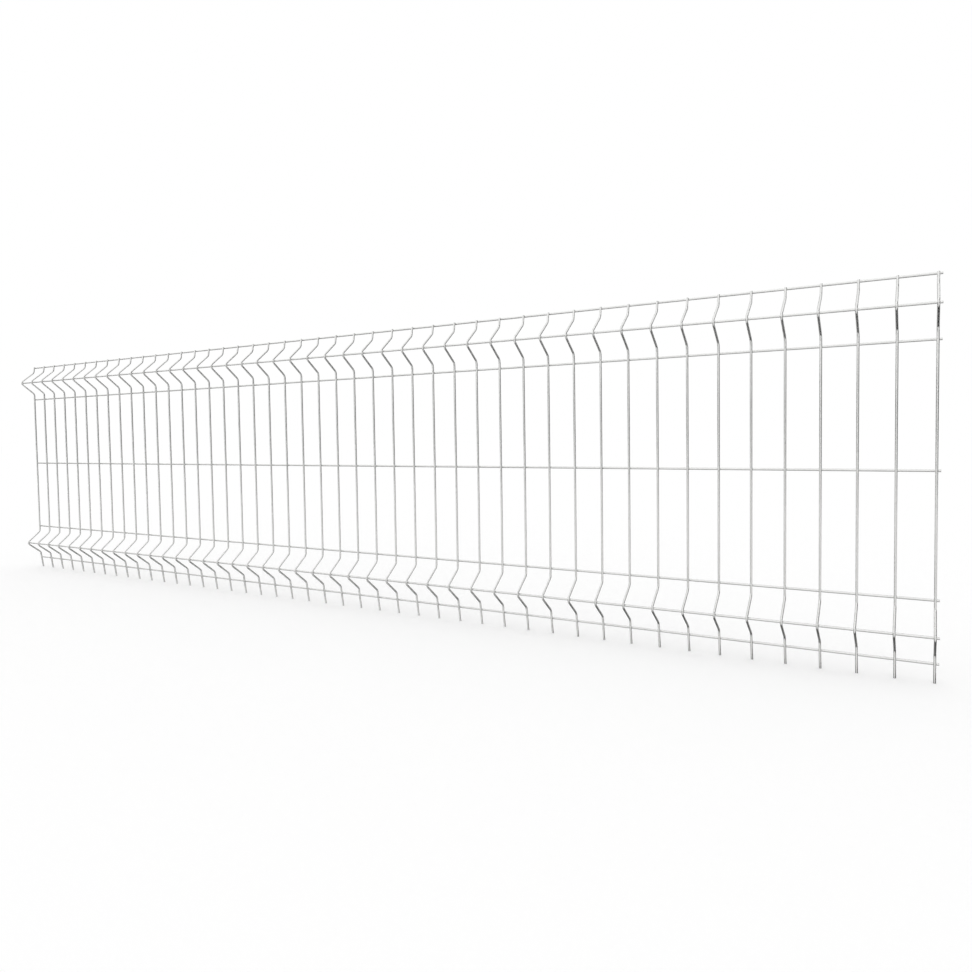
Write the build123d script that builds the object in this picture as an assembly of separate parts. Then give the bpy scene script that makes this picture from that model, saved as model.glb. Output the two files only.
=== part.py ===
from build123d import *
import math
import os

# Welded mesh fence panel, in millimetres and degrees.
# The panel stands on its spikes: X runs along it, Z is up, and the folds bulge towards -Y.
# The origin is under the middle of the panel, half way through its depth, level with the spike tips.

# Wires
vertical_diameter = 4.0
line_diameter = 4.0

# Mesh
vertical_count = 46
vertical_pitch = 55.0
field_pitch = 200.0  # line wire to line wire in the flat field between the folds
fold_pitch = 100.0  # line wire to line wire across a fold
line_overhang = 6.0  # line wire past the centre of the end vertical wire
spike_length = 30.0  # vertical wire below its weld to the bottom line wire
top_rise = 2.0  # vertical wire above its weld to the top line wire

# Folds
fold_depth = 35.0  # centre line of the flat run to centre line of the peak
fold_shoulder = 17.0  # line wire beside a fold to the fold's corner, before it is rounded
peak_inner_radius = 6.0  # inside of the bend at a fold's peak, from the punch
corner_inner_radius = 10.0  # inside of the bend at a fold's two corners, from the die
end_lean = 8.0  # the free ends beyond the folds lean back, because nothing held them in the press

# Welds
weld_set_down = 0.4  # how far the two wires are pressed into each other
weld_throat = 0.4  # fused metal in front of the line wire, where it is thinnest
weld_collar = 0.15  # fused metal standing past the pressed patch

# Sizes that follow
vertical_radius = vertical_diameter / 2
line_radius = line_diameter / 2
peak_radius = peak_inner_radius + vertical_radius
corner_radius = corner_inner_radius + vertical_radius
fold_height = fold_pitch - 2 * fold_shoulder
line_offset = vertical_radius + line_radius - weld_set_down


def set_back(height):
    """How far a leaning end has gone back at a height beyond the corner of its fold."""
    return height * math.tan(math.radians(end_lean))


# The depth runs from the front of the peaks to the back of the leaning ends, with the origin half way
lean_cosine = math.cos(math.radians(end_lean))
line_back = set_back(fold_shoulder) + line_offset * lean_cosine + line_radius
tip_back = set_back(fold_shoulder + max(spike_length, top_rise)) + vertical_radius / lean_cosine
panel_back = max(line_back, tip_back)
flat_y = (fold_depth + vertical_radius - panel_back) / 2
peak_y = flat_y - fold_depth

bottom_line_z = spike_length
lower_peak_z = bottom_line_z + fold_pitch / 2
lower_field_z = bottom_line_z + fold_pitch
middle_line_z = lower_field_z + field_pitch
upper_field_z = middle_line_z + field_pitch
upper_peak_z = upper_field_z + fold_pitch / 2
top_line_z = upper_field_z + fold_pitch
vertical_top_z = top_line_z + top_rise

vertical_span = (vertical_count - 1) * vertical_pitch
line_length = vertical_span + 2 * line_overhang

# The pressed patch of a weld is largest in a peak, where the vertical wire curves round the line wire
flat_patch = math.sqrt(2 * weld_set_down * vertical_radius)
peak_patch = math.sqrt(2 * weld_set_down / (1 / line_radius - 1 / peak_inner_radius))
weld_radius = max(flat_patch, peak_patch) + weld_collar


def crossing(y, z, lean=0.0):
    """A place on a vertical wire's centre line, with its Y axis square out of the wire's back."""
    return Pos(0, y, z) * Rot(-lean, 0, 0)


# Each line wire's crossing with the vertical wire at X = 0
crossings = {
    "top": crossing(flat_y + set_back(fold_shoulder), top_line_z, end_lean),
    "upper_fold": crossing(peak_y, upper_peak_z),
    "upper_field": crossing(flat_y, upper_field_z),
    "middle": crossing(flat_y, middle_line_z),
    "lower_field": crossing(flat_y, lower_field_z),
    "lower_fold": crossing(peak_y, lower_peak_z),
    "bottom": crossing(flat_y + set_back(fold_shoulder), bottom_line_z, -end_lean),
}


def fold_corners(peak_z):
    """The three sharp corners of one fold, from its lower end to its upper end.

    The rounded peak reaches the fold's depth, so its sharp corner stands further out.
    """
    half_height = fold_height / 2
    arc_centre_depth = fold_depth - peak_radius
    to_arc_centre = math.hypot(half_height, arc_centre_depth)
    lean = math.atan2(arc_centre_depth, half_height) + math.asin(peak_radius / to_arc_centre)
    sharp_depth = half_height * math.tan(lean)
    return [
        (0, flat_y, peak_z - half_height),
        (0, flat_y - sharp_depth, peak_z),
        (0, flat_y, peak_z + half_height),
    ]


def bent_wire():
    """One vertical wire at X = 0, cut level at the tip of its spike and at its top, before it is welded."""
    trim = vertical_radius  # drawn on past each end, and cut off
    spike_end = (0, flat_y + set_back(fold_shoulder + spike_length + trim), -trim)
    top_end = (0, flat_y + set_back(fold_shoulder + top_rise + trim), vertical_top_z + trim)
    corners = fold_corners(lower_peak_z) + fold_corners(upper_peak_z)
    radii = 2 * [corner_radius, peak_radius, corner_radius]
    path = FilletPolyline(spike_end, *corners, top_end, radius=radii)
    section = Plane(path @ 0, z_dir=path % 0) * Circle(vertical_radius)
    wire = sweep(section, path=path)
    drawn_volume = section.area * path.length
    print(f"uncut vertical wire: volume {wire.volume:.2f}, section times length {drawn_volume:.2f}")
    wire = split(wire, bisect_by=Plane.XY, keep=Keep.TOP)
    return split(wire, bisect_by=Plane.XY.offset(vertical_top_z), keep=Keep.BOTTOM)


def line_wire(place):
    """One straight line wire, pressed into the back of the vertical wires at a crossing."""
    return place * Pos(0, line_offset, 0) * Cylinder(line_radius, line_length, rotation=(0, 90, 0))


def weld_disc(place):
    """The fused metal of one crossing, from inside the vertical wire to the line wire's axis."""
    front = line_offset - line_radius - weld_throat
    back = line_offset
    return place * Pos(0, (front + back) / 2, 0) * Cylinder(weld_radius, back - front, rotation=(90, 0, 0))


def vertical_wire():
    """One vertical wire at X = 0, with a seat for the weld at each line wire."""
    wire = bent_wire()
    for place in crossings.values():
        wire -= weld_disc(place)
    return wire


vertical_xs = [i * vertical_pitch - vertical_span / 2 for i in range(vertical_count)]
pieces = {}

welded_wire = vertical_wire()
for number, x in enumerate(vertical_xs, start=1):
    pieces[f"vertical_wire_{number:02d}"] = Pos(x, 0, 0) * welded_wire

for name, place in crossings.items():
    wire = line_wire(place)
    weld = weld_disc(place) - wire
    pieces[f"{name}_line_wire"] = wire
    pieces[f"{name}_welds"] = Compound(children=[Pos(x, 0, 0) * weld for x in vertical_xs])

os.makedirs("parts", exist_ok=True)
for name, piece in pieces.items():
    piece.label = name
    export_step(piece, f"parts/{name}.step")

total_volume = sum(piece.volume for piece in pieces.values())
print(f"{len(pieces)} nodes, {total_volume:.0f} cubic millimetres")
panel_depth = vertical_radius + fold_depth + panel_back
print(f"flat field at y {flat_y:.3f}, size {line_length:.1f} x {panel_depth:.3f} x {vertical_top_z:.1f}")
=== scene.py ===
"""Dress the welded mesh fence panel: smooth zinc-coated wires, weld beads and a white studio."""

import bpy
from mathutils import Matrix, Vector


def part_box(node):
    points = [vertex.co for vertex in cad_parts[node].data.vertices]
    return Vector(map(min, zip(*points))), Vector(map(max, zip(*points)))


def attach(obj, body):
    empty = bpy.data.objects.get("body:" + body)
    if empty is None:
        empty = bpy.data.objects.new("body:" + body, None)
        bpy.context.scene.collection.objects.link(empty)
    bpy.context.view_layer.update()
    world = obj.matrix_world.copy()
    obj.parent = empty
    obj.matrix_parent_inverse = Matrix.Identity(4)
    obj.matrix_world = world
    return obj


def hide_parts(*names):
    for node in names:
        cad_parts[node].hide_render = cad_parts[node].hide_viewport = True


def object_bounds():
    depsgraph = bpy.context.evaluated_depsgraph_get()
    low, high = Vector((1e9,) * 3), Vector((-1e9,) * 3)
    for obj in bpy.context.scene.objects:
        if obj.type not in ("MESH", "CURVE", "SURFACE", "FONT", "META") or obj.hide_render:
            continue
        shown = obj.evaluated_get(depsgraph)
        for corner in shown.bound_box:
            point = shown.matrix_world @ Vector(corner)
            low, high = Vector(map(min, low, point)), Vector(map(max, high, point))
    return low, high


bl_info = {
    "name": "Welded Mesh Fence Panel",
    "version": (1, 0, 0),
    "blender": (4, 5, 0),
    "location": "View3D > Sidebar > Fence Panel",
    "description": "Models the wires and welds of a folded mesh fence panel and sets up its studio",
    "category": "Object",
}

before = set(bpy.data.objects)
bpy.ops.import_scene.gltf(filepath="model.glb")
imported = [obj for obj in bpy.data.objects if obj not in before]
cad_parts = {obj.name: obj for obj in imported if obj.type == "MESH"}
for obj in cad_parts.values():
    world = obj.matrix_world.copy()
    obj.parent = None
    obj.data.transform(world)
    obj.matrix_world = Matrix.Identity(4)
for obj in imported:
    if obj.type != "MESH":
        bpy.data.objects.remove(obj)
cad_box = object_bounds()

import math
import random

import bpy
from bpy.props import FloatProperty, FloatVectorProperty, IntProperty, PointerProperty
from mathutils import Matrix, Vector

BODY = "root"
MM = 0.001
QUARTER_TURN = math.radians(90)
ALONG_PANEL = 0  # axis of the line wires
UPWARDS = 2  # axis of the vertical wires
WHITE = (1.0, 1.0, 1.0, 1.0)

VERTICAL_NODES = sorted(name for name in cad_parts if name.startswith("vertical_wire_"))
FLAT_LINES = ("bottom", "lower_field", "middle", "upper_field", "top")
PEAK_LINES = ("lower_fold", "upper_fold")
ALL_LINES = FLAT_LINES + PEAK_LINES

# How the wires are modelled
SAME_PLACE = 1e-6  # points closer than this are one, in metres
LEAST_BEND_STEPS = 3
WELD_STOPS = (-8.0 * MM, -3.0 * MM, 0.0, 3.0 * MM, 8.0 * MM)  # divisions of a wire round each weld
RIM_STEPS = 2  # steps in the rounded rim of a cut end
CUT_SHARE = 0.2  # share of the rounding that counts as the cut itself
SMOOTH_BELOW = math.radians(40)  # edges flatter than this are shaded smooth

# How the weld beads are modelled
BEAD_SEGMENTS = 10
BEAD_RINGS = 6
BEAD_SPREAD = (0.88, 1.08)  # how far an uneven bead shrinks and grows
BEAD_SEED = 7

# The zinc coat: scales of its noise, spans of the noise that count, and what they become
STREAKS_ACROSS = 1500.0
STREAKS_ALONG = 40.0
MOTTLE_SCALE = 320.0
PATCH_SCALE = 21.0
TONE_SPAN = (0.36, 0.64)
HEAT_SPAN = (0.3, 0.6)
HEAT_SHARE = (0.1, 0.3)
POLISH_SPAN = (0.3, 0.7)
ZINC_ROUGHNESS = (0.2, 0.28)
HEAT_ROUGHENING = 0.3
ZINC_RELIEF = 0.02 * MM
ZINC_RELIEF_STRENGTH = 0.1

# The weld metal, in the same way
GRAIN_SCALE = 900.0
GRAIN_TONE_SPAN = (0.35, 0.65)
GRAIN_POLISH_SPAN = (0.3, 0.7)
WELD_ROUGHNESS = (0.4, 0.6)
WELD_RELIEF = 0.15 * MM
WELD_RELIEF_STRENGTH = 0.5

# The studio, in metres, and the camera's sensor in millimetres
FLOOR_RADIUS = 60.0
FLOOR_SIDES = 64
BOARD_THICKNESS = 0.01
SENSOR_WIDTH = 36.0

# Glowing boards round the panel that only the metal mirrors, no lamps: painted reflections, the dark
# greys painted shade and the pale ones painted light. Two corners, in metres, and a grey
BOARDS = {
    "right_wall_front": ((8.0, -8.0, -0.2), (8.0, -2.0, 2.25), 0.49),
    "right_wall_back": ((8.0, -2.0, -0.2), (8.0, 8.0, 2.25), 0.02),
    "back_wall": ((-8.0, 8.0, -1.4), (8.0, 8.0, 5.2), 0.02),
    "front_band": ((-8.0, -8.0, 0.25), (8.0, -8.0, 0.65), 0.02),
    "left_wall": ((-8.0, -8.0, 0.2), (-8.0, 8.0, 1.4), 0.02),
    "ceiling": ((5.4, -5.5, 6.0), (16.8, 5.2, 6.0), 0.14),
    "ground": ((-30.0, -30.0, -1.6), (30.0, 30.0, -1.6), 0.81),
    # Dark patches in the mirrored ground: painted shade in the metal's reflections
    "ground_left": ((-12.0, -2.8, -1.55), (-4.65, 2.75, -1.55), 0.02),
    "ground_front": ((-7.1, -4.25, -1.56), (-1.15, -2.2, -1.56), 0.02),
    # Patches under the panel, seen in its downward faces: painted shade in the metal's reflections
    "shade_under_edge": ((-4.0, -1.0, -1.5), (2.2, -0.4, -1.5), 0.6),
    "shade_under_front": ((-4.0, -0.4, -1.5), (2.2, 0.3, -1.5), 0.02),
    "shade_under_back": ((-4.0, 0.3, -1.5), (2.2, 2.75, -1.5), 0.13),
    "shade_under_right": ((2.2, -1.0, -1.5), (7.8, 2.75, -1.5), 0.02),
    # A bright strip just under the panel: a painted highlight in the metal's reflections
    "highlight_strip": ((-2.0, -0.022, -0.12), (0.63, 0.017, -0.12), 1.0),
}


def node_centre(node):
    """The middle of a CAD node's box."""
    low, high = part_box(node)
    return (low + high) / 2


WIRE_LOW, WIRE_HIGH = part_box(VERTICAL_NODES[0])
LINE_CENTRES = {place: node_centre(f"{place}_line_wire") for place in ALL_LINES}
VERTICAL_XS = [node_centre(name).x for name in VERTICAL_NODES]


class FencePanelSizes(bpy.types.PropertyGroup):
    """Sizes of the wires and welds that the frame doesn't give."""

    wire_diameter: FloatProperty(
        name="Wire diameter", description="Diameter of all the wires",
        default=4.0 * MM, min=0.0, unit="LENGTH",
    )
    peak_radius: FloatProperty(
        name="Peak radius", description="Radius of the bend at a fold's peak, at the wire's middle",
        default=8.0 * MM, min=0.0, unit="LENGTH",
    )
    corner_radius: FloatProperty(
        name="Corner radius", description="Radius of the bends at a fold's corners, at the wire's middle",
        default=12.0 * MM, min=0.0, unit="LENGTH",
    )
    fold_shoulder: FloatProperty(
        name="Fold shoulder", description="From the line wire beside a fold to the fold's corner",
        default=17.0 * MM, min=0.0, unit="LENGTH",
    )
    end_lean: FloatProperty(
        name="End lean", description="How far the free ends beyond the folds lean back",
        default=math.radians(8.0), subtype="ANGLE",
    )
    line_offset: FloatProperty(
        name="Line offset", description="From a vertical wire's middle to a line wire's middle",
        default=3.6 * MM, min=0.0, unit="LENGTH",
    )
    wire_sides: IntProperty(
        name="Wire sides", description="Sides of a wire's section",
        default=24, min=6,
    )
    bend_steps: IntProperty(
        name="Bend steps", description="Steps in a quarter turn of a bend",
        default=12, min=3,
    )
    cut_rounding: FloatProperty(
        name="Cut rounding", description="Rounding of the rim where a wire is cut off",
        default=0.35 * MM, min=0.0, unit="LENGTH",
    )
    electrode_flat: FloatProperty(
        name="Electrode flat", description="How far a welding electrode flattens the wire",
        default=0.2 * MM, min=0.0, unit="LENGTH",
    )
    electrode_reach: FloatProperty(
        name="Electrode reach", description="Half the length of the flat that an electrode leaves",
        default=3.0 * MM, min=0.0, unit="LENGTH",
    )
    heat_reach: FloatProperty(
        name="Heat reach", description="How far the dulled zinc reaches from a weld",
        default=9.0 * MM, min=0.0, unit="LENGTH",
    )
    bead_radius: FloatProperty(
        name="Bead radius", description="Radius of the metal squeezed out of a weld",
        default=2.3 * MM, min=0.0, unit="LENGTH",
    )
    bead_thickness: FloatProperty(
        name="Bead thickness", description="Thickness of the metal squeezed out of a weld",
        default=1.8 * MM, min=0.0, unit="LENGTH",
    )


class FencePanelFinish(bpy.types.PropertyGroup):
    """Colours of the zinc, the welds and the cut ends."""

    zinc_light: FloatVectorProperty(
        name="Light zinc", description="Brightest tone of the zinc coat",
        default=(0.88, 0.88, 0.87, 1.0), min=0.0, max=1.0, size=4, subtype="COLOR",
    )
    zinc_dark: FloatVectorProperty(
        name="Dark zinc", description="Darkest tone of the zinc coat",
        default=(0.79, 0.79, 0.78, 1.0), min=0.0, max=1.0, size=4, subtype="COLOR",
    )
    burnt_zinc: FloatVectorProperty(
        name="Burnt zinc", description="Zinc dulled by the heat of a weld",
        default=(0.36, 0.35, 0.33, 1.0), min=0.0, max=1.0, size=4, subtype="COLOR",
    )
    cut_steel: FloatVectorProperty(
        name="Cut steel", description="Bare steel where a wire is cut off",
        default=(0.30, 0.28, 0.26, 1.0), min=0.0, max=1.0, size=4, subtype="COLOR",
    )


class FencePanelStage(bpy.types.PropertyGroup):
    """The studio and the camera."""

    floor_colour: FloatVectorProperty(
        name="Floor", description="Colour of the floor",
        default=WHITE, min=0.0, max=1.0, size=4, subtype="COLOR",
    )
    softbox_place: FloatVectorProperty(
        name="Softbox place", description="Where the lamp overhead hangs",
        default=(0.93, -0.88, 2.4), subtype="XYZ", unit="LENGTH",
    )
    softbox_size: FloatVectorProperty(
        name="Softbox size", description="Length and width of the lamp overhead",
        default=(1.75, 0.15), min=0.0, size=2, unit="LENGTH",
    )
    softbox_power: FloatProperty(
        name="Softbox power", description="Power of the lamp overhead",
        default=1.1, min=0.0, unit="POWER",
    )
    camera_place: FloatVectorProperty(
        name="Camera place", description="Where the camera stands",
        default=(1.2221, -1.2690, 0.3887), subtype="XYZ", unit="LENGTH",
    )
    camera_turn: FloatVectorProperty(
        name="Camera turn", description="Tilt, roll and pan of the camera",
        default=(math.radians(87.638), math.radians(0.773), math.radians(29.101)), subtype="EULER",
    )
    camera_lens: FloatProperty(
        name="Lens", description="Focal length on a 36 mm sensor, in millimetres",
        default=27.089, min=1.0,
    )
    camera_shift: FloatVectorProperty(
        name="Shift", description="Shift of the picture, because the photo is cropped",
        default=(-0.0329, -0.0184), size=2,
    )


def sizes():
    return bpy.context.scene.fence_panel_sizes


def finish():
    return bpy.context.scene.fence_panel_finish


def stage_settings():
    return bpy.context.scene.fence_panel_stage


# Shader helpers


def add_node(tree, kind, **properties):
    """A new shader node with its properties set."""
    node = tree.nodes.new(kind)
    for name, value in properties.items():
        setattr(node, name, value)
    return node


def noise(tree, vector, scale, detail, roughness=0.5):
    """A noise texture's value over the given coordinates."""
    node = add_node(tree, "ShaderNodeTexNoise")
    node.inputs["Scale"].default_value = scale
    node.inputs["Detail"].default_value = detail
    node.inputs["Roughness"].default_value = roughness
    tree.links.new(vector, node.inputs["Vector"])
    return node.outputs["Fac"]


def remap(tree, value, span, to_span=(0.0, 1.0)):
    """A value moved from one span to another."""
    node = add_node(tree, "ShaderNodeMapRange")
    names = ("From Min", "From Max", "To Min", "To Max")
    for name, number in zip(names, (*span, *to_span)):
        node.inputs[name].default_value = number
    tree.links.new(value, node.inputs["Value"])
    return node.outputs["Result"]


def mixed_colour(tree, factor, first, second):
    """Two colours mixed by a factor. Each colour is a fixed one or a socket."""
    node = add_node(tree, "ShaderNodeMix", data_type="RGBA")
    tree.links.new(factor, node.inputs["Factor"])
    for name, colour in (("A", first), ("B", second)):
        socket = next(s for s in node.inputs if s.name == name and s.type == "RGBA")
        if isinstance(colour, bpy.types.NodeSocket):
            tree.links.new(colour, socket)
        else:
            socket.default_value = colour
    return next(s for s in node.outputs if s.type == "RGBA")


def calculated(tree, operation, first, second):
    """The result of a sum on two sockets, or on a socket and a number."""
    node = add_node(tree, "ShaderNodeMath", operation=operation)
    for socket, value in zip(node.inputs, (first, second)):
        if isinstance(value, bpy.types.NodeSocket):
            tree.links.new(value, socket)
        else:
            socket.default_value = value
    return node.outputs["Value"]


def marked(tree, attribute):
    """A value that the mesh carries at its points."""
    return add_node(tree, "ShaderNodeAttribute", attribute_name=attribute).outputs["Fac"]


def metal(name):
    """A new material with a bare metal shader. Returns the material, its tree and its shader."""
    material = bpy.data.materials.new(name)
    material.use_nodes = True
    tree = material.node_tree
    shader = tree.nodes["Principled BSDF"]
    shader.inputs["Metallic"].default_value = 1.0
    return material, tree, shader


def bumped(tree, shader, height, strength, distance):
    """Give a metal a fine relief."""
    bump = add_node(tree, "ShaderNodeBump")
    bump.inputs["Strength"].default_value = strength
    bump.inputs["Distance"].default_value = distance
    tree.links.new(height, bump.inputs["Height"])
    tree.links.new(bump.outputs["Normal"], shader.inputs["Normal"])


def zinc_coat(name, streak_scale):
    """Drawn wire with a bright zinc coat: drawing streaks, mottled zinc, dulled welds and cut ends."""
    material, tree, shader = metal(name)
    place = add_node(tree, "ShaderNodeTexCoord").outputs["Object"]
    stretch = add_node(tree, "ShaderNodeMapping")
    stretch.inputs["Scale"].default_value = streak_scale
    tree.links.new(place, stretch.inputs["Vector"])

    streaks = noise(tree, stretch.outputs["Vector"], scale=1.0, detail=3.0)
    mottle = noise(tree, place, scale=MOTTLE_SCALE, detail=4.0, roughness=0.6)
    patches = noise(tree, place, scale=PATCH_SCALE, detail=2.0)
    tone = calculated(tree, "MULTIPLY", calculated(tree, "ADD", mottle, patches), 0.5)
    lightness = remap(tree, tone, TONE_SPAN)
    zinc = mixed_colour(tree, lightness, finish().zinc_dark, finish().zinc_light)
    heat_share = remap(tree, mottle, HEAT_SPAN, HEAT_SHARE)
    heat = calculated(tree, "MULTIPLY", marked(tree, "heat"), heat_share)
    dulled = mixed_colour(tree, heat, zinc, finish().burnt_zinc)
    colour = mixed_colour(tree, marked(tree, "cut"), dulled, finish().cut_steel)
    tree.links.new(colour, shader.inputs["Base Color"])

    polish = remap(tree, mottle, POLISH_SPAN, ZINC_ROUGHNESS)
    rough = calculated(tree, "ADD", polish, calculated(tree, "MULTIPLY", heat, HEAT_ROUGHENING))
    tree.links.new(rough, shader.inputs["Roughness"])
    relief = calculated(tree, "ADD", streaks, mottle)
    bumped(tree, shader, relief, ZINC_RELIEF_STRENGTH, ZINC_RELIEF)
    return material


def weld_metal(name):
    """Squeezed-out weld metal: dull, grainy and darker than the zinc."""
    material, tree, shader = metal(name)
    place = add_node(tree, "ShaderNodeTexCoord").outputs["Object"]
    grain = noise(tree, place, scale=GRAIN_SCALE, detail=5.0, roughness=0.65)
    lightness = remap(tree, grain, GRAIN_TONE_SPAN)
    colour = mixed_colour(tree, lightness, finish().burnt_zinc, finish().zinc_dark)
    tree.links.new(colour, shader.inputs["Base Color"])
    polish = remap(tree, grain, GRAIN_POLISH_SPAN, WELD_ROUGHNESS)
    tree.links.new(polish, shader.inputs["Roughness"])
    bumped(tree, shader, grain, WELD_RELIEF_STRENGTH, WELD_RELIEF)
    return material


# Modelling helpers


def start_wire(name, radius, centre, turn):
    """A filled circle at a wire's end, selected in edit mode. The wire is drawn on from it."""
    bpy.ops.object.select_all(action="DESELECT")
    bpy.ops.mesh.primitive_circle_add(
        vertices=sizes().wire_sides, radius=radius, fill_type="NGON", location=centre, rotation=turn
    )
    wire = bpy.context.active_object
    wire.name = name
    wire.data.name = name
    bpy.ops.object.transform_apply(location=True, rotation=True, scale=True)
    bpy.ops.object.mode_set(mode="EDIT")
    bpy.ops.mesh.select_mode(type="FACE")
    bpy.ops.mesh.select_all(action="SELECT")
    return wire


def draw_on(step):
    """Extrude the selected end of a wire."""
    bpy.ops.mesh.extrude_region_move(TRANSFORM_OT_translate={"value": step})


def finish_wire(wire, ends, axis):
    """Round the rims of both cut ends, turn the faces outwards and smooth the wire. Leaves edit mode."""
    bpy.ops.object.mode_set(mode="OBJECT")
    mesh = wire.data
    for group in (mesh.polygons, mesh.edges, mesh.vertices):
        group.foreach_set("select", [False] * len(group))
    for edge in mesh.edges:
        along = [mesh.vertices[i].co[axis] for i in edge.vertices]
        edge.select = any(all(abs(a - end) < SAME_PLACE for a in along) for end in ends)
    bpy.ops.object.mode_set(mode="EDIT")
    bpy.ops.mesh.select_mode(type="EDGE")
    bpy.ops.mesh.bevel(offset=sizes().cut_rounding, segments=RIM_STEPS, affect="EDGES")
    bpy.ops.mesh.select_all(action="SELECT")
    bpy.ops.mesh.remove_doubles(threshold=SAME_PLACE)
    bpy.ops.mesh.normals_make_consistent(inside=False)
    bpy.ops.object.mode_set(mode="OBJECT")
    bpy.ops.object.shade_smooth_by_angle(angle=SMOOTH_BELOW)


def cut_level(height, keep_above):
    """Cut the wire in edit mode level at a height, and close the cut."""
    bpy.ops.mesh.select_all(action="SELECT")
    bpy.ops.mesh.bisect(
        plane_co=(0, 0, height), plane_no=(0, 0, 1), use_fill=True,
        clear_inner=keep_above, clear_outer=not keep_above,
    )


def mark(mesh, attribute, values):
    """Write one value for each point of a mesh, for its material."""
    layer = mesh.attributes.new(attribute, "FLOAT", "POINT")
    layer.data.foreach_set("value", values)


def mark_finish(wire, crossings, ends, axis):
    """Mark how near each point is to a weld, and which points lie on a cut end."""
    mesh = wire.data
    reach = sizes().heat_reach
    cut_depth = sizes().cut_rounding * CUT_SHARE
    heat = []
    cut = []
    for vertex in mesh.vertices:
        to_weld = min((vertex.co - spot).length for spot in crossings)
        to_end = min(abs(vertex.co[axis] - end) for end in ends)
        heat.append(max(0.0, 1.0 - to_weld / reach))
        cut.append(1.0 if to_end < cut_depth else 0.0)
    mark(mesh, "heat", heat)
    mark(mesh, "cut", cut)


def press_flat(wire, spots, outward):
    """Flatten the wire at each weld, on the outward side, where the electrode pressed on it."""
    reach = sizes().electrode_reach
    limit = sizes().wire_diameter / 2 - sizes().electrode_flat
    for vertex in wire.data.vertices:
        for spot in spots:
            offset = vertex.co - spot
            height = offset.dot(outward)
            if height > limit and (offset - outward * height).length < reach:
                vertex.co -= outward * (height - limit)


def copy_piece(source, name, move):
    """A copy with a mesh of its own, moved in its mesh."""
    piece = source.copy()
    piece.data = source.data.copy()
    piece.name = name
    piece.data.name = name
    piece.data.transform(move)
    bpy.context.collection.objects.link(piece)
    return piece


def fit_piece(piece, node, material):
    """Put a piece in the place of its CAD node."""
    piece.data.materials.clear()
    piece.data.materials.append(material)
    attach(piece, BODY)
    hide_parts(node)


# Where the line wires cross the vertical wires


def lean_at(place):
    """How far back the vertical wires lean, going up, where a line wire crosses them."""
    return {"top": sizes().end_lean, "bottom": -sizes().end_lean}.get(place, 0.0)


def way_back(place):
    """The way out of a vertical wire's back, square to it, where a line wire crosses."""
    lean = lean_at(place)
    return Vector((0.0, math.cos(lean), -math.sin(lean)))


def on_vertical(place, x):
    """The spot on a vertical wire's centre line where a line wire crosses."""
    spot = LINE_CENTRES[place] - way_back(place) * sizes().line_offset
    return Vector((x, spot.y, spot.z))


def stops_near(welds, low, high):
    """Where a straight run from low to high is divided: round each weld on it, and at its end."""
    return [w + s for w in sorted(welds) for s in WELD_STOPS if low < w + s < high] + [high]


# The vertical wires


class WireWalk:
    """Draws a bent wire on in the YZ plane from its selected end.

    Heading 0 is up, and turns towards -Y.
    """

    def __init__(self, place, heading):
        self.place = Vector(place)
        self.heading = heading

    def ahead(self):
        return Vector((0.0, -math.sin(self.heading), math.cos(self.heading)))

    def aside(self):
        return Vector((0.0, -math.cos(self.heading), -math.sin(self.heading)))

    def run(self, length):
        step = self.ahead() * length
        draw_on(step)
        self.place += step

    def run_up_to(self, heights):
        for height in heights:
            self.run((height - self.place.z) / math.cos(self.heading))

    def bend(self, angle, radius):
        centre = self.place + self.aside() * math.copysign(radius, angle)
        steps = max(LEAST_BEND_STEPS, round(sizes().bend_steps * abs(angle) / QUARTER_TURN))
        bpy.ops.mesh.spin(steps=steps, angle=-angle, center=centre, axis=(1, 0, 0))
        self.place = centre + Matrix.Rotation(angle, 3, "X") @ (self.place - centre)
        self.heading += angle


def fold_lean(fold_depth, half_height):
    """How far a fold's slants lean from upright, so that the rounded peak reaches the fold's depth."""
    radius = sizes().peak_radius
    arc_centre_depth = fold_depth - radius
    to_arc_centre = math.hypot(half_height, arc_centre_depth)
    return math.atan2(arc_centre_depth, half_height) + math.asin(radius / to_arc_centre)


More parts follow.
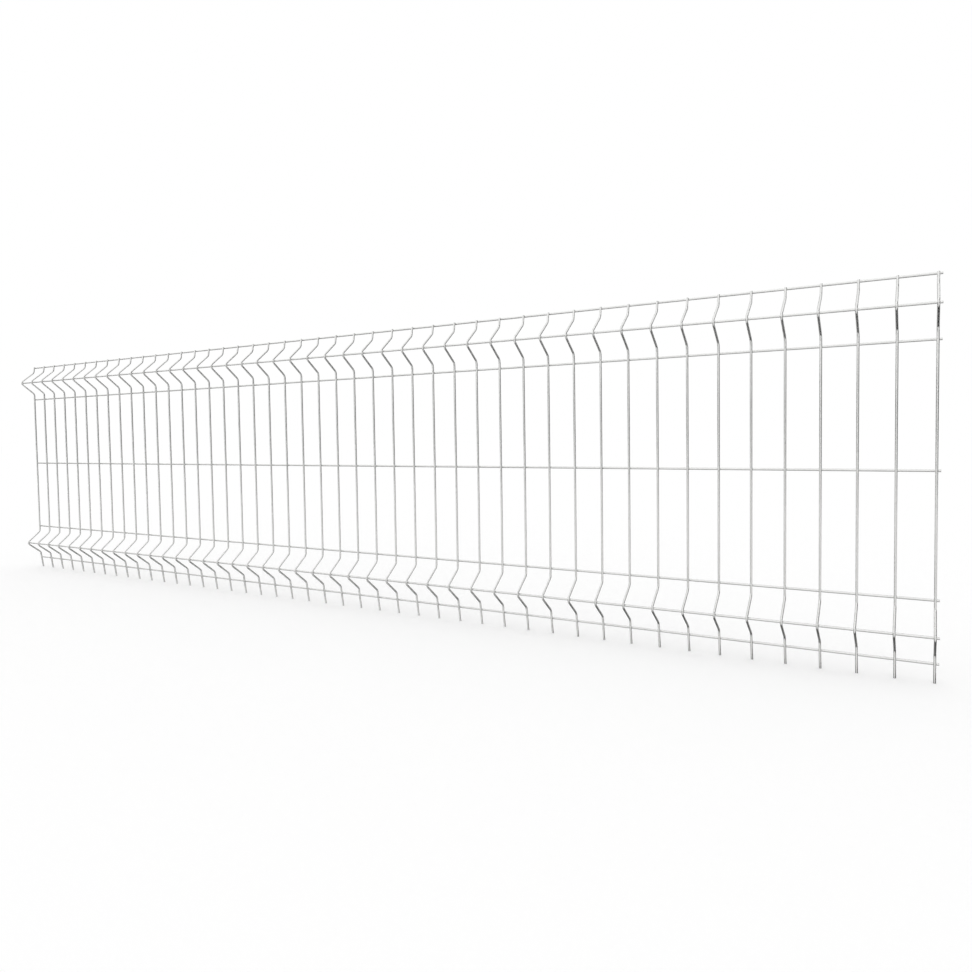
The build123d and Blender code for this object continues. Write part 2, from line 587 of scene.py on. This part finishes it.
def model_vertical_wire(name, x):
    """One bent wire, drawn on from the tip of its spike to its top and cut level at both."""
    radius = sizes().wire_diameter / 2
    peak_radius = sizes().peak_radius
    corner_radius = sizes().corner_radius
    end_lean = sizes().end_lean
    spots = {place: on_vertical(place, x) for place in ALL_LINES}
    flat_y = spots["middle"].y
    half_height = (spots["top"].z - spots["upper_field"].z) / 2 - sizes().fold_shoulder
    lean = fold_lean(flat_y - spots["upper_fold"].y, half_height)
    levels = [spots[place].z for place in FLAT_LINES]

    # What each rounded corner takes off the straight runs beside it
    end_cut = corner_radius * math.tan((lean - end_lean) / 2)
    field_cut = corner_radius * math.tan(lean / 2)
    peak_cut = peak_radius * math.tan(lean)
    slant = half_height / math.cos(lean) - peak_cut

    start_z = WIRE_LOW.z - radius
    first_corner_z = spots["lower_fold"].z - half_height
    start = (x, flat_y + (first_corner_z - start_z) * math.tan(end_lean), start_z)
    wire = start_wire(name, radius, start, (end_lean, 0, 0))
    walk = WireWalk(start, end_lean)
    walk.run_up_to(stops_near(levels, start_z, first_corner_z - end_cut * math.cos(end_lean)))
    walk.bend(lean - end_lean, corner_radius)
    walk.run(slant - end_cut)
    walk.bend(-2 * lean, peak_radius)
    walk.run(slant - field_cut)
    walk.bend(lean, corner_radius)
    walk.run_up_to(stops_near(levels, walk.place.z, spots["upper_fold"].z - half_height - field_cut))
    walk.bend(lean, corner_radius)
    walk.run(slant - field_cut)
    walk.bend(-2 * lean, peak_radius)
    walk.run(slant - end_cut)
    walk.bend(lean - end_lean, corner_radius)
    walk.run_up_to(stops_near(levels, walk.place.z, WIRE_HIGH.z + radius))
    cut_level(WIRE_LOW.z, keep_above=True)
    cut_level(WIRE_HIGH.z, keep_above=False)

    ends = (WIRE_LOW.z, WIRE_HIGH.z)
    finish_wire(wire, ends, UPWARDS)
    for place, spot in spots.items():
        press_flat(wire, [spot], -way_back(place))
    mark_finish(wire, list(spots.values()), ends, UPWARDS)
    return wire


class FENCE_OT_vertical_wires(bpy.types.Operator):
    """Model one folded vertical wire and copy it along the panel"""

    bl_idname = "fence.vertical_wires"
    bl_label = "Vertical Wires"

    def execute(self, context):
        streak_scale = (STREAKS_ACROSS, STREAKS_ALONG, STREAKS_ALONG)
        zinc = zinc_coat("zinc_on_vertical_wires", streak_scale)
        first_x = VERTICAL_XS[0]
        first = model_vertical_wire("zinc_vertical_wire_01", first_x)
        wires = [first]
        for number, x in enumerate(VERTICAL_XS[1:], start=2):
            move = Matrix.Translation((x - first_x, 0, 0))
            wires.append(copy_piece(first, f"zinc_vertical_wire_{number:02d}", move))
        for wire, node in zip(wires, VERTICAL_NODES):
            fit_piece(wire, node, zinc)
        return {"FINISHED"}


# The line wires


def model_line_wire(name, place):
    """One straight wire, drawn on along the panel with divisions round each weld."""
    radius = sizes().wire_diameter / 2
    centre = LINE_CENTRES[place]
    low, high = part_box(f"{place}_line_wire")
    wire = start_wire(name, radius, (low.x, centre.y, centre.z), (0, QUARTER_TURN, 0))
    at = low.x
    for stop in stops_near(VERTICAL_XS, low.x, high.x):
        draw_on((stop - at, 0, 0))
        at = stop
    ends = (low.x, high.x)
    finish_wire(wire, ends, ALONG_PANEL)
    spots = [Vector((x, centre.y, centre.z)) for x in VERTICAL_XS]
    press_flat(wire, spots, way_back(place))
    mark_finish(wire, spots, ends, ALONG_PANEL)
    return wire


class FENCE_OT_line_wires(bpy.types.Operator):
    """Model the middle line wire and copy it to the other heights"""

    bl_idname = "fence.line_wires"
    bl_label = "Line Wires"

    def execute(self, context):
        streak_scale = (STREAKS_ALONG, STREAKS_ACROSS, STREAKS_ACROSS)
        zinc = zinc_coat("zinc_on_line_wires", streak_scale)
        first = model_line_wire("zinc_middle_line_wire", "middle")
        for place in ALL_LINES:
            wire = first
            if place != "middle":
                turn = Matrix.Rotation(-lean_at(place), 4, "X")
                there = Matrix.Translation(LINE_CENTRES[place])
                back = Matrix.Translation(-LINE_CENTRES["middle"])
                wire = copy_piece(first, f"zinc_{place}_line_wire", there @ turn @ back)
            fit_piece(wire, f"{place}_line_wire", zinc)
        return {"FINISHED"}


# The welds


def model_weld_bead(name):
    """Metal squeezed out of one weld: a flat lens, at the origin."""
    bpy.ops.object.select_all(action="DESELECT")
    bpy.ops.mesh.primitive_uv_sphere_add(
        segments=BEAD_SEGMENTS, ring_count=BEAD_RINGS, radius=1.0, rotation=(QUARTER_TURN, 0, 0)
    )
    bead = bpy.context.active_object
    bead.name = name
    bead.scale = (sizes().bead_radius, sizes().bead_radius, sizes().bead_thickness / 2)
    bpy.ops.object.transform_apply(location=True, rotation=True, scale=True)
    return bead


def uneven(mesh, draw):
    """Make a bead's rim uneven."""
    for vertex in mesh.vertices:
        vertex.co.x *= draw.uniform(*BEAD_SPREAD)
        vertex.co.z *= draw.uniform(*BEAD_SPREAD)


class FENCE_OT_welds(bpy.types.Operator):
    """Model the metal squeezed out of each weld, joined for each line wire"""

    bl_idname = "fence.welds"
    bl_label = "Weld Beads"

    def execute(self, context):
        steel = weld_metal("weld_metal")
        draw = random.Random(BEAD_SEED)
        pattern = model_weld_bead("weld_bead")
        contact = sizes().wire_diameter / 2
        for place in ALL_LINES:
            seat = LINE_CENTRES[place] - way_back(place) * contact
            lean = Matrix.Rotation(-lean_at(place), 4, "X")
            beads = []
            for x in VERTICAL_XS:
                bead = copy_piece(pattern, f"{place}_weld_bead", Matrix())
                uneven(bead.data, draw)
                turn = Matrix.Rotation(draw.uniform(0, math.tau), 4, "Y")
                bead.data.transform(Matrix.Translation((x, seat.y, seat.z)) @ lean @ turn)
                beads.append(bead)
            bpy.ops.object.select_all(action="DESELECT")
            for bead in beads:
                bead.select_set(True)
            context.view_layer.objects.active = beads[0]
            bpy.ops.object.join()
            bpy.ops.object.shade_smooth()
            group = context.active_object
            group.name = f"{place}_weld_beads"
            group.data.name = group.name
            fit_piece(group, f"{place}_welds", steel)
        bpy.data.objects.remove(pattern)
        return {"FINISHED"}


# The studio


def floor_paint(name, colour):
    """A plain matt surface."""
    material = bpy.data.materials.new(name)
    material.use_nodes = True
    tree = material.node_tree
    paint = add_node(tree, "ShaderNodeBsdfDiffuse")
    paint.inputs["Color"].default_value = colour
    tree.links.new(paint.outputs["BSDF"], tree.nodes["Material Output"].inputs["Surface"])
    return material


def glow(name, grey):
    """An even grey that glows and needs no light, though it is no lamp: it paints the boards' reflections
    in the metal.
    """
    material = bpy.data.materials.new(name)
    material.use_nodes = True
    tree = material.node_tree
    light = add_node(tree, "ShaderNodeEmission")
    light.inputs["Color"].default_value = (grey, grey, grey, 1.0)
    tree.links.new(light.outputs["Emission"], tree.nodes["Material Output"].inputs["Surface"])
    return material


def add_board(name, low, high, grey):
    """A glowing grey board between two corners, that is seen only in the metal: a painted reflection, of
    shade where it is dark and of light where it is pale.
    """
    low, high = Vector(low), Vector(high)
    bpy.ops.object.select_all(action="DESELECT")
    bpy.ops.mesh.primitive_cube_add(size=1.0, location=(low + high) / 2)
    board = bpy.context.active_object
    board.name = name
    board.scale = [max(BOARD_THICKNESS, side) for side in high - low]
    board.data.materials.append(glow(f"{name}_grey", grey))
    board.visible_camera = False
    board.visible_diffuse = False
    board.visible_shadow = False
    board.visible_transmission = False


class FENCE_OT_studio(bpy.types.Operator):
    """Set up the white studio and the camera"""

    bl_idname = "fence.studio"
    bl_label = "Studio"

    def execute(self, context):
        scene = context.scene
        scene.view_settings.view_transform = "Standard"
        settings = stage_settings()

        bpy.ops.object.select_all(action="DESELECT")
        bpy.ops.mesh.primitive_circle_add(
            vertices=FLOOR_SIDES, radius=FLOOR_RADIUS, fill_type="NGON", location=(0, 0, cad_box[0][2])
        )
        floor = context.active_object
        floor.name = "studio_floor"
        floor.data.materials.append(floor_paint("floor_paint", settings.floor_colour))
        floor.visible_glossy = False

        for name, (low, high, grey) in BOARDS.items():
            add_board(name, low, high, grey)

        world = bpy.data.worlds.new("white_studio")
        scene.world = world
        world.use_nodes = True
        world.node_tree.nodes["Background"].inputs["Color"].default_value = WHITE

        bpy.ops.object.light_add(type="AREA", location=settings.softbox_place)
        softbox = context.active_object
        softbox.name = "softbox"
        softbox.data.shape = "RECTANGLE"
        softbox.data.size, softbox.data.size_y = settings.softbox_size
        softbox.data.energy = settings.softbox_power
        softbox.visible_diffuse = False

        bpy.ops.object.camera_add(location=settings.camera_place, rotation=settings.camera_turn)
        camera = context.active_object
        camera.name = "photo_camera"
        camera.data.sensor_width = SENSOR_WIDTH
        camera.data.lens = settings.camera_lens
        camera.data.shift_x, camera.data.shift_y = settings.camera_shift
        scene.camera = camera
        return {"FINISHED"}


class FENCE_PT_sidebar(bpy.types.Panel):
    """Lists the steps that make the panel"""

    bl_idname = "FENCE_PT_sidebar"
    bl_label = "Fence Panel"
    bl_space_type = "VIEW_3D"
    bl_region_type = "UI"
    bl_category = "Fence Panel"

    def draw(self, context):
        for operator in OPERATORS:
            self.layout.operator(operator.bl_idname)


OPERATORS = (FENCE_OT_vertical_wires, FENCE_OT_line_wires, FENCE_OT_welds, FENCE_OT_studio)
GROUPS = {
    "fence_panel_sizes": FencePanelSizes,
    "fence_panel_finish": FencePanelFinish,
    "fence_panel_stage": FencePanelStage,
}
CLASSES = (*GROUPS.values(), *OPERATORS, FENCE_PT_sidebar)


def register():
    for cls in CLASSES:
        bpy.utils.register_class(cls)
    for name, group in GROUPS.items():
        setattr(bpy.types.Scene, name, PointerProperty(type=group))


def unregister():
    for name in GROUPS:
        delattr(bpy.types.Scene, name)
    for cls in reversed(CLASSES):
        bpy.utils.unregister_class(cls)


def main():
    register()
    bpy.ops.fence.vertical_wires()
    bpy.ops.fence.line_wires()
    bpy.ops.fence.welds()
    bpy.ops.fence.studio()


if __name__ == "__main__":
    main()
